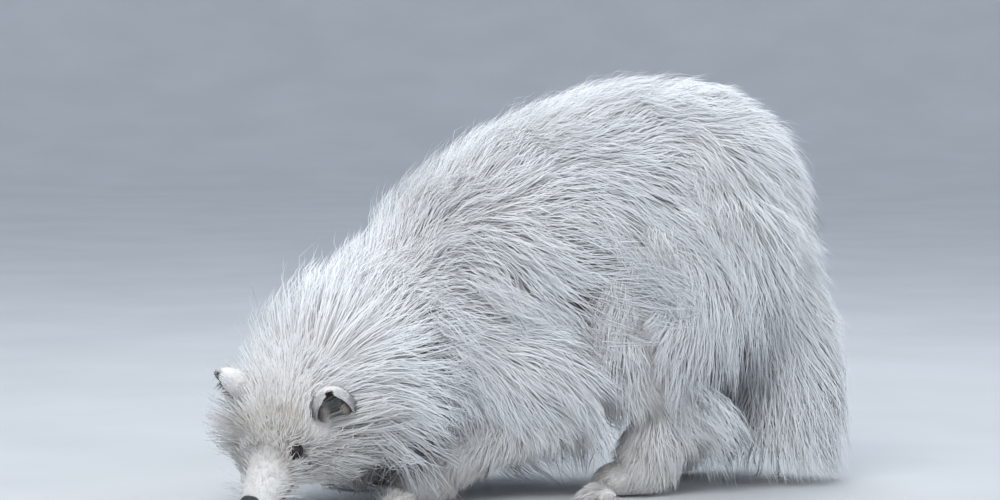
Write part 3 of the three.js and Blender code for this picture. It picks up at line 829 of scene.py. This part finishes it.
def ear_fur(name, side, rng, material, inner_material):
    """Velvet tufts up the back of an ear, and long fine hairs across its hollow."""
    for inside, count in ((False, EAR_TUFTS), (True, EAR_INNER_HAIRS)):
        height = rng.uniform(0.12, 0.96, count) if not inside else rng.uniform(0.15, 0.62, count)
        swing = rng.uniform(-1, 1, count) * EAR_WRAP
        if inside:
            swing = np.sign(swing) * (0.5 * np.abs(swing) + 0.5 * EAR_WRAP)
        _, axis, mouth, across = ear_frame(side)
        inset = 0.004 if inside else 0.0
        points = np.array([ear_point(side, h, w, inset) for h, w in zip(height, swing)])
        normals = -mouth * np.cos(swing)[:, None] * 0.82 + across * np.sin(swing)[:, None]
        normals = unit(normals + axis * (height**3)[:, None] * 1.5)
        if inside:
            lie = unit(-normals * 0.5 + mouth * 0.5 + axis * 0.75)
            length = rng.uniform(0.016, 0.030, count)
            rise = np.zeros(count)
            width = np.full(count, 0.0008)
        else:
            aside = rng.normal(0, 0.15, count)[:, None]
            lie = unit(axis - normals * (normals @ axis)[:, None] + across * aside)
            length = rng.uniform(0.008, 0.015, count) * np.where(height > 0.85, 0.6, 1)
            rise = rng.uniform(0.002, 0.0045, count)
            width = np.full(count, 0.0011)
        path = within_box(hair_paths(points, normals, lie, length, rise, 0.08 * length, 2, rng))
        uv = np.stack([0.5 + 0.45 * swing / EAR_WRAP, 0.05 + 0.9 * height], axis=1)
        hair = strands(path, normals, width)
        label = f"{name}_{'inner' if inside else 'outer'}_fur"
        chosen = inner_material if inside else material
        coat_piece(label, hair, 2, uv, rng.random(count), np.full(count, 0.15), chosen)


def clump_paths(coat, rng, clumps, points, steps):
    """For each strand the path that its clump's middle takes, and the clump's tone."""
    roots, normals = clumps
    tree = KDTree(len(roots))
    for number, root in enumerate(roots):
        tree.insert(root, number)
    tree.balance()
    nearest = np.array([tree.find(p)[1] for p in points])
    depth, lie, run, _, tousle, _ = coat.at(roots, normals)
    lie = laid(roots, lie, normals, tousle)
    length = depth * run * rng.normal(1.05, 0.12, len(roots))
    rise = depth * rng.uniform(0.75, 1.0, len(roots))
    turn = rng.normal(0, 0.16, len(roots))[:, None]
    lie = lie * np.cos(turn) + np.cross(normals, lie) * np.sin(turn)
    path = hair_paths(roots, normals, lie, length, rise, 0.10 * length, steps, rng)
    return path[nearest], rng.random(len(roots))[nearest]


def new_material(name):
    """An empty node material and its node tree."""
    material = bpy.data.materials.new(name)
    material.use_nodes = True
    tree = material.node_tree
    return material, tree, tree.nodes["Principled BSDF"]


def node(tree, kind, **values):
    """Adds a node and sets its properties and, by name, its input sockets."""
    made = tree.nodes.new(kind)
    for key, value in values.items():
        if hasattr(made, key):
            setattr(made, key, value)
        else:
            made.inputs[key.replace("_", " ")].default_value = value
    return made


def ramp(tree, source, stops):
    """A colour ramp fed by a socket."""
    made = tree.nodes.new("ShaderNodeValToRGB")
    elements = made.color_ramp.elements
    while len(elements) < len(stops):
        elements.new(0.5)
    for element, (position, colour) in zip(elements, stops):
        element.position = position
        element.color = (*colour, 1)
    tree.links.new(source, made.inputs["Fac"])
    return made.outputs["Color"]


def blend(tree, factor, a, b):
    """Mixes two colours, each a socket or three numbers."""
    mix = tree.nodes.new("ShaderNodeMix")
    mix.data_type = "RGBA"
    for value, socket in ((factor, mix.inputs["Factor"]), (a, mix.inputs["A"]), (b, mix.inputs["B"])):
        if isinstance(value, bpy.types.NodeSocket):
            tree.links.new(value, socket)
        elif isinstance(value, (int, float)):
            socket.default_value = value
        else:
            socket.default_value = (*value, 1)
    return mix.outputs["Result"]


def noise_factor(tree, scale, low=0.35, high=0.65):
    """Noise over the body, stretched to run from 0 to 1 between two levels."""
    place = tree.nodes.new("ShaderNodeTexCoord")
    noise = node(tree, "ShaderNodeTexNoise", Scale=scale, Detail=3.0)
    tree.links.new(place.outputs["Object"], noise.inputs["Vector"])
    spread = node(tree, "ShaderNodeMapRange")
    spread.inputs["From Min"].default_value = low
    spread.inputs["From Max"].default_value = high
    tree.links.new(noise.outputs["Fac"], spread.inputs["Value"])
    return spread.outputs["Result"]


def attribute(tree, name):
    """The value that a mesh holds under a name."""
    made = tree.nodes.new("ShaderNodeAttribute")
    made.attribute_name = name
    return made.outputs["Fac"]


def fur_material(name, pale, deep):
    """Hair: greyer at the root, paler at the tip, stained in places and darkened by painted shade in the
    flank's fold.
    """
    material, tree, shader = new_material(name)
    creamy = tuple(0.5 * (a + b) for a, b in zip(pale, CREAM))
    white = blend(tree, noise_factor(tree, 9), pale, creamy)
    toned = blend(tree, attribute(tree, "tone"), white, pale)
    up = ramp(tree, attribute(tree, "strand"), ((0.0, (0, 0, 0)), (0.55, (1, 1, 1))))
    body = blend(tree, up, deep, toned)
    # stain colour, which also paints the shade in the flank's fold
    patches = blend(tree, noise_factor(tree, 24, 0.3, 0.7), STAIN_AND_SHADE, CREAM)
    stained_and_shaded = blend(tree, attribute(tree, "stain_and_shade"), body, patches)
    tree.links.new(stained_and_shaded, shader.inputs["Base Color"])
    shader.inputs["Roughness"].default_value = 0.55
    shader.inputs["Specular IOR Level"].default_value = 0.35
    shader.inputs["Sheen Weight"].default_value = 0.25
    shader.inputs["Sheen Roughness"].default_value = 0.4
    return material


def skin_material():
    """Pale skin with dense white undercoat, mottled and finely bumped."""
    material, tree, shader = new_material("undercoat")
    colour = blend(tree, noise_factor(tree, 14), (0.88, 0.87, 0.85), (0.80, 0.78, 0.75))
    tree.links.new(colour, shader.inputs["Base Color"])
    shader.inputs["Roughness"].default_value = 0.9
    add_bump(tree, shader, 420, 0.6, 0.002)
    return material


def add_bump(tree, shader, scale, strength, distance):
    """Fine noise bump on a shader."""
    place = tree.nodes.new("ShaderNodeTexCoord")
    noise = node(tree, "ShaderNodeTexNoise", Scale=scale, Detail=4.0)
    bump = node(tree, "ShaderNodeBump", Strength=strength, Distance=distance)
    tree.links.new(place.outputs["Object"], noise.inputs["Vector"])
    tree.links.new(noise.outputs["Fac"], bump.inputs["Height"])
    tree.links.new(bump.outputs["Normal"], shader.inputs["Normal"])


def leather_material(name, dark, light, scale, roughness):
    """Moist grained skin, as on the nose, lips and lids."""
    material, tree, shader = new_material(name)
    colour = blend(tree, noise_factor(tree, scale / 6), dark, light)
    tree.links.new(colour, shader.inputs["Base Color"])
    shader.inputs["Roughness"].default_value = roughness
    shader.inputs["Coat Weight"].default_value = 0.3
    shader.inputs["Coat Roughness"].default_value = 0.25
    add_bump(tree, shader, scale, 0.5, 0.0008)
    return material


def eye_material():
    """A dark brown iris round a black pupil, under a wet cornea. The ball's Z runs out of the pupil."""
    material, tree, shader = new_material("eye")
    place = tree.nodes.new("ShaderNodeTexCoord")
    split = tree.nodes.new("ShaderNodeSeparateXYZ")
    tree.links.new(place.outputs["Object"], split.inputs["Vector"])
    radius = EYE_RADIUS
    height = node(tree, "ShaderNodeMapRange")
    height.inputs["From Min"].default_value = radius * 0.55
    height.inputs["From Max"].default_value = radius
    tree.links.new(split.outputs["Z"], height.inputs["Value"])
    rings = ((0.0, (0.35, 0.29, 0.25)), (0.10, (0.02, 0.012, 0.008)), (0.20, (0.10, 0.045, 0.018)))
    rings += ((0.70, (0.055, 0.022, 0.009)), (0.80, (0.004, 0.003, 0.003)))
    tree.links.new(ramp(tree, height.outputs["Result"], rings), shader.inputs["Base Color"])
    shader.inputs["Roughness"].default_value = 0.12
    shader.inputs["Coat Weight"].default_value = 1.0
    shader.inputs["Coat Roughness"].default_value = 0.03
    return material


def set_camera():
    """The camera at the photo's angle, with the photo's frame about the dog."""
    sin_a, cos_a = math.sin(-VIEW_AZIMUTH), math.cos(VIEW_AZIMUTH)
    level = math.cos(VIEW_ELEVATION)
    forward = Vector((sin_a * level, cos_a * level, -math.sin(VIEW_ELEVATION)))
    right = Vector((cos_a, -sin_a, 0))
    target = Vector(SHIFT) + right * PHOTO_CENTRE[0]
    target.z = PHOTO_CENTRE[1] / math.cos(VIEW_ELEVATION)
    data = bpy.data.cameras.new("camera")
    data.sensor_width = SENSOR_WIDTH * 1000
    data.lens = SENSOR_WIDTH * 1000 * VIEW_DISTANCE / PHOTO_WIDTH_AT_DOG
    camera = bpy.data.objects.new("camera", data)
    camera.location = target - forward * VIEW_DISTANCE
    camera.rotation_euler = forward.to_track_quat("-Z", "Y").to_euler()
    bpy.context.scene.collection.objects.link(camera)
    bpy.context.scene.camera = camera


def area_light(name, place, target, size, power, colour):
    """A soft square light that faces a point."""
    data = bpy.data.lights.new(name, "AREA")
    data.size = size
    data.energy = power
    data.color = colour
    light = bpy.data.objects.new(name, data)
    light.location = place
    light.rotation_euler = (Vector(target) - Vector(place)).to_track_quat("-Z", "Y").to_euler()
    bpy.context.scene.collection.objects.link(light)


def set_stage():
    """A pale floor that turns up into a pale wall all round, and soft studio lights."""
    turns = -np.linspace(0, 2 * math.pi, FLOOR_SIDES, endpoint=False)
    circle = np.stack([np.cos(turns), np.sin(turns), np.zeros(FLOOR_SIDES)], axis=1)
    bm = bmesh.new()
    rings = []
    for share in np.linspace(0, 1, BEND_STEPS):
        reach = FLOOR_RADIUS + WALL_BEND * math.sin(share * math.pi / 2)
        rings.append(circle * reach + UP * WALL_BEND * (1 - math.cos(share * math.pi / 2)))
    loft(bm, rings, closed_ends=False)
    bm.verts.ensure_lookup_table()
    bm.faces.new(list(bm.verts)[FLOOR_SIDES - 1 :: -1])
    floor = object_from(bm, "floor")
    material, tree, shader = new_material("floor")
    colour = blend(tree, noise_factor(tree, 3), (0.62, 0.63, 0.64), (0.66, 0.67, 0.68))
    tree.links.new(colour, shader.inputs["Base Color"])
    shader.inputs["Roughness"].default_value = 0.75
    floor.data.materials.append(material)
    world = bpy.data.worlds.new("studio")
    bpy.context.scene.world = world
    world.use_nodes = True
    background = world.node_tree.nodes["Background"]
    background.inputs["Color"].default_value = WORLD_COLOUR
    background.inputs["Strength"].default_value = WORLD_STRENGTH
    for name, place, size, power, light_colour in LIGHTS:
        area_light(name, place, LIGHT_AIM, size, power, light_colour)
    bpy.context.scene.view_settings.view_transform = "Standard"


def ear_frame(side):
    """An ear's root, its axis, the way that its opening faces, and the way across it."""
    root = on_head(EAR_ROOT[0], EAR_ROOT[1], side * EAR_ROOT[2])
    axis = unit(MUZZLE * EAR_LEAN[0] + CROWN * EAR_LEAN[1] + HEAD_LEFT * side * EAR_LEAN[2])
    mouth = MUZZLE + HEAD_LEFT * side * EAR_FACING
    mouth = unit(mouth - axis * np.dot(mouth, axis))
    return root, axis, mouth, np.cross(axis, mouth)


def ear_point(side, height, swing, inset):
    """A point on an ear's wall, by the share of its height, the angle from its back, and its inset."""
    root, axis, mouth, across = ear_frame(side)
    radius = EAR_HALF_WIDTH * math.sqrt(max(1 - min(height, 0.985) ** 2.6, 0)) - inset
    point = root + axis * (height * EAR_HEIGHT - EAR_SINK)
    point = point - mouth * (math.cos(swing) * radius * 0.82 + height * 0.006)
    return point + across * math.sin(swing) * radius


def make_ear(name, side, outer, inner):
    """One ear: a cupped wall with a rolled edge and dark inside; the fur behind it comes from ear_fur."""
    rings, columns = 18, 26
    bm = bmesh.new()
    sheets = []
    for face in (0, 1):
        rows = []
        for i in range(rings + 1):
            height = i / rings
            row = []
            for j in range(columns + 1):
                swing = (2 * j / columns - 1) * EAR_WRAP
                wall = EAR_WALL * math.cos(swing * 0.55) * (1 - 0.45 * height)
                reach = height * (1 - face * 0.06)
                row.append(bm.verts.new(ear_point(side, reach, swing, face * max(wall, 0.0025))))
            rows.append(row)
        sheets.append(rows)
    for face, rows in enumerate(sheets):
        for i in range(rings):
            for j in range(columns):
                quad = (rows[i][j], rows[i][j + 1], rows[i + 1][j + 1], rows[i + 1][j])
                made = bm.faces.new(quad if face else quad[::-1])
                rim = i > 0.92 * rings or abs(2 * (j + 0.5) / columns - 1) > 0.84
                made.material_index = 0 if rim else face
    close_ear(bm, sheets, rings, columns)
    bmesh.ops.recalc_face_normals(bm, faces=bm.faces)
    obj = object_from(bm, name)
    obj.data.materials.append(outer)
    obj.data.materials.append(inner)
    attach(obj, "root")
    return obj


def close_ear(bm, sheets, rings, columns):
    """Joins an ear's two sheets along the edges of the opening, the tip and the root."""
    back, front = sheets
    for i in range(rings):
        for j in (0, columns):
            bm.faces.new((back[i][j], front[i][j], front[i + 1][j], back[i + 1][j]))
    for i in (0, rings):
        for j in range(columns):
            bm.faces.new((back[i][j], front[i][j], front[i][j + 1], back[i][j + 1]))


def eye_out(side):
    """The way that an eye looks."""
    return unit(MUZZLE * 0.55 + HEAD_LEFT * side * 0.66 + CROWN * 0.42)


def make_eye(name, side, material):
    """An eyeball with a bulging cornea, turned so that its own Z looks out of the head."""
    out = eye_out(side)
    bm = bmesh.new()
    bmesh.ops.create_uvsphere(bm, u_segments=32, v_segments=24, radius=EYE_RADIUS)
    for v in bm.verts:
        front = max(v.co.z / EYE_RADIUS - 0.78, 0) / 0.22
        v.co *= 1 + 0.06 * front
    obj = object_from(bm, f"{name}_ball")
    obj.data.materials.append(material)
    obj.location = on_head(EYE_AT[0], EYE_AT[1], side * EYE_AT[2])
    obj.rotation_euler = Vector(out).to_track_quat("Z", "Y").to_euler()
    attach(obj, "root")
    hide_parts(name)


def tube(name, points, radii, material, sides=12, closed=False):
    """A round tube along points, thinner or thicker along its way."""
    points = np.array(points)
    count = len(points)
    if closed:
        direction = unit(np.roll(points, -1, axis=0) - np.roll(points, 1, axis=0))
    else:
        direction = unit(np.gradient(points, axis=0))
    reference = unit(np.cross(direction, MUZZLE + 0.3 * CROWN + 0.1 * HEAD_LEFT))
    second = np.cross(direction, reference)
    angle = np.linspace(0, 2 * math.pi, sides, endpoint=False)
    rings = points[:, None] + (
        np.cos(angle)[None, :, None] * reference[:, None] + np.sin(angle)[None, :, None] * second[:, None]
    ) * np.array(radii)[:, None, None]
    faces = []
    for i in range(count if closed else count - 1):
        k = (i + 1) % count
        for a in range(sides):
            b = (a + 1) % sides
            faces.append((i * sides + a, i * sides + b, k * sides + b, k * sides + a))
    obj = mesh_object(name, rings.reshape(-1, 3), faces)
    obj.data.materials.append(material)
    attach(obj, "root")
    return obj


def make_lids(name, side, material):
    """The dark rim of an eye, long from corner to corner and low from lid to lid."""
    out = eye_out(side)
    along = MUZZLE * 0.8 - CROWN * 0.35
    along = unit(along - out * np.dot(along, out))
    across = np.cross(out, along)
    eye = on_head(EYE_AT[0], EYE_AT[1], side * EYE_AT[2])
    points, radii = [], []
    for k in range(40):
        turn = 2 * math.pi * k / 40
        x = LID_OPENING[0] * math.cos(turn) * 0.92
        y = LID_OPENING[1] * math.sin(turn) * abs(math.sin(turn)) ** 0.25 * 0.85
        lift = math.sqrt(max(EYE_RADIUS**2 - x**2 - y**2, 0))
        points.append(eye + along * x + across * y + out * (lift + 0.0004))
        radii.append(0.0018)
    tube(name, points, radii, material, closed=True)


def make_lips(name, side, material):
    """The dark lip on one side, from under the nose back to the corner of the mouth."""
    table = np.array(MOUTH_LINE)
    t = np.linspace(0, 1, 24)
    along = np.interp(t, np.linspace(0, 1, len(table)), table[:, 0])
    up = np.interp(t, np.linspace(0, 1, len(table)), table[:, 1])
    points = [on_head(a, u, side * (head_surface(a, u) + 0.0006)) for a, u in zip(along, up)]
    radii = 0.0022 * np.sin(np.pi * np.clip(t * 0.9 + 0.08, 0, 1)) + 0.0006
    tube(name, points, radii, material)


def make_nose(material):
    """The nose pad with its two comma nostrils and the groove between them."""
    bm = bmesh.new()
    bmesh.ops.create_uvsphere(bm, u_segments=48, v_segments=32, radius=1.0)
    for v in bm.verts:
        x, y, z = v.co
        squared = (abs(x) ** 2.6 + abs(y) ** 2.6 + abs(z) ** 2.6) ** (1 / 2.6)
        x, y, z = x / squared, y / squared, z / squared
        for side in (1, -1):
            hole = math.hypot((y + 0.15) / 0.28, (z - side * 0.46) / 0.20)
            if x > 0 and hole < 1.4:
                x -= 0.55 * max(1 - hole, 0) ** 0.6 if hole < 1 else -0.05 * (1.4 - hole)
        if x > 0:
            x -= 0.16 * math.exp(-((z / 0.09) ** 2))
        place = (NOSE_AT[0] + x * NOSE_SIZE[0], NOSE_AT[1] + y * NOSE_SIZE[1], z * NOSE_SIZE[2])
        v.co = Vector(on_head(*place))
    obj = object_from(bm, "nose_pad")
    obj.data.materials.append(material)
    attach(obj, "root")
    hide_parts("nose")


def make_claws(material):
    """A curved claw on every toe."""
    for name, x, y in feet():
        for i, reach in enumerate(TOE_REACH):
            root = np.array((x - reach - TOE_RADIUS, y + (i - 1.5) * TOE_SPREAD, TOE_RADIUS - 0.001)) + SHIFT
            t = np.linspace(0, 1, 9)
            points = [root + np.array((-CLAW_LENGTH * s, 0, -0.0075 * s**1.8)) for s in t]
            radii = CLAW_RADIUS * (1 - t) ** 0.6 + 0.0002
            claw = tube(f"claw_{name}_{i + 1}_horn", points, radii, material)
            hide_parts(f"claw_{name}_{i + 1}")


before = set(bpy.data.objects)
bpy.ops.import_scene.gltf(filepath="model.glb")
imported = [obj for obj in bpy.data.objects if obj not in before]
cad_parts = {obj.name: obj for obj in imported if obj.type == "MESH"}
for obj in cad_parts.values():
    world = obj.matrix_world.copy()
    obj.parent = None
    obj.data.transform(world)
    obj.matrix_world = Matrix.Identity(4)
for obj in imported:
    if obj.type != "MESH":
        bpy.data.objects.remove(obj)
cad_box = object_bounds()

# The solids' frame is shifted so that its origin is under the middle of their box.
SHIFT = np.zeros(3)
eye_low, eye_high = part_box("eye_left")
SHIFT = (np.array(eye_low) + np.array(eye_high)) / 2 - on_head(EYE_AT[0], EYE_AT[1], EYE_AT[2])

fur = fur_material("fur", WHITE, ROOT_GREY)
ear_hair = fur_material("ear_hair", (0.36, 0.29, 0.23), (0.08, 0.05, 0.04))
undercoat = skin_material()
black_leather = leather_material("nose_leather", (0.012, 0.011, 0.011), (0.045, 0.04, 0.04), 900, 0.35)
ear_back = leather_material("ear_back", (0.74, 0.70, 0.67), (0.84, 0.82, 0.80), 500, 0.85)
ear_inside = leather_material("ear_inside", (0.05, 0.032, 0.026), (0.11, 0.07, 0.055), 400, 0.6)
horn = leather_material("horn", (0.05, 0.04, 0.035), (0.14, 0.11, 0.09), 300, 0.35)
eye = eye_material()

limbs = make_limbs()
skin = make_skin(limbs)
skin.data.materials.append(undercoat)
unwrap(skin)
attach(skin, "root")
FLESH = ["torso", "neck", "head", "tail"]
for side_name in SIDES:
    FLESH += [f"foreleg_{side_name}", f"hind_leg_{side_name}", f"hind_foot_{side_name}"]
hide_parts(*FLESH)

for side_name, side_sign in SIDES.items():
    ear = make_ear(f"ear_{side_name}_shell", -side_sign, ear_back, ear_inside)
    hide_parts(f"ear_{side_name}")
    ear_fur(f"ear_{side_name}", -side_sign, np.random.default_rng(SEED + side_sign), fur, ear_hair)
    make_eye(f"eye_{side_name}", -side_sign, eye)

make_nose(black_leather)
make_claws(horn)
for side_name, side_sign in SIDES.items():
    make_lids(f"lids_{side_name}", -side_sign, black_leather)
    make_lips(f"lip_{side_name}", -side_sign, black_leather)

make_coat(Surface(skin.data), Coat(limbs), fur)
set_camera()
set_stage()
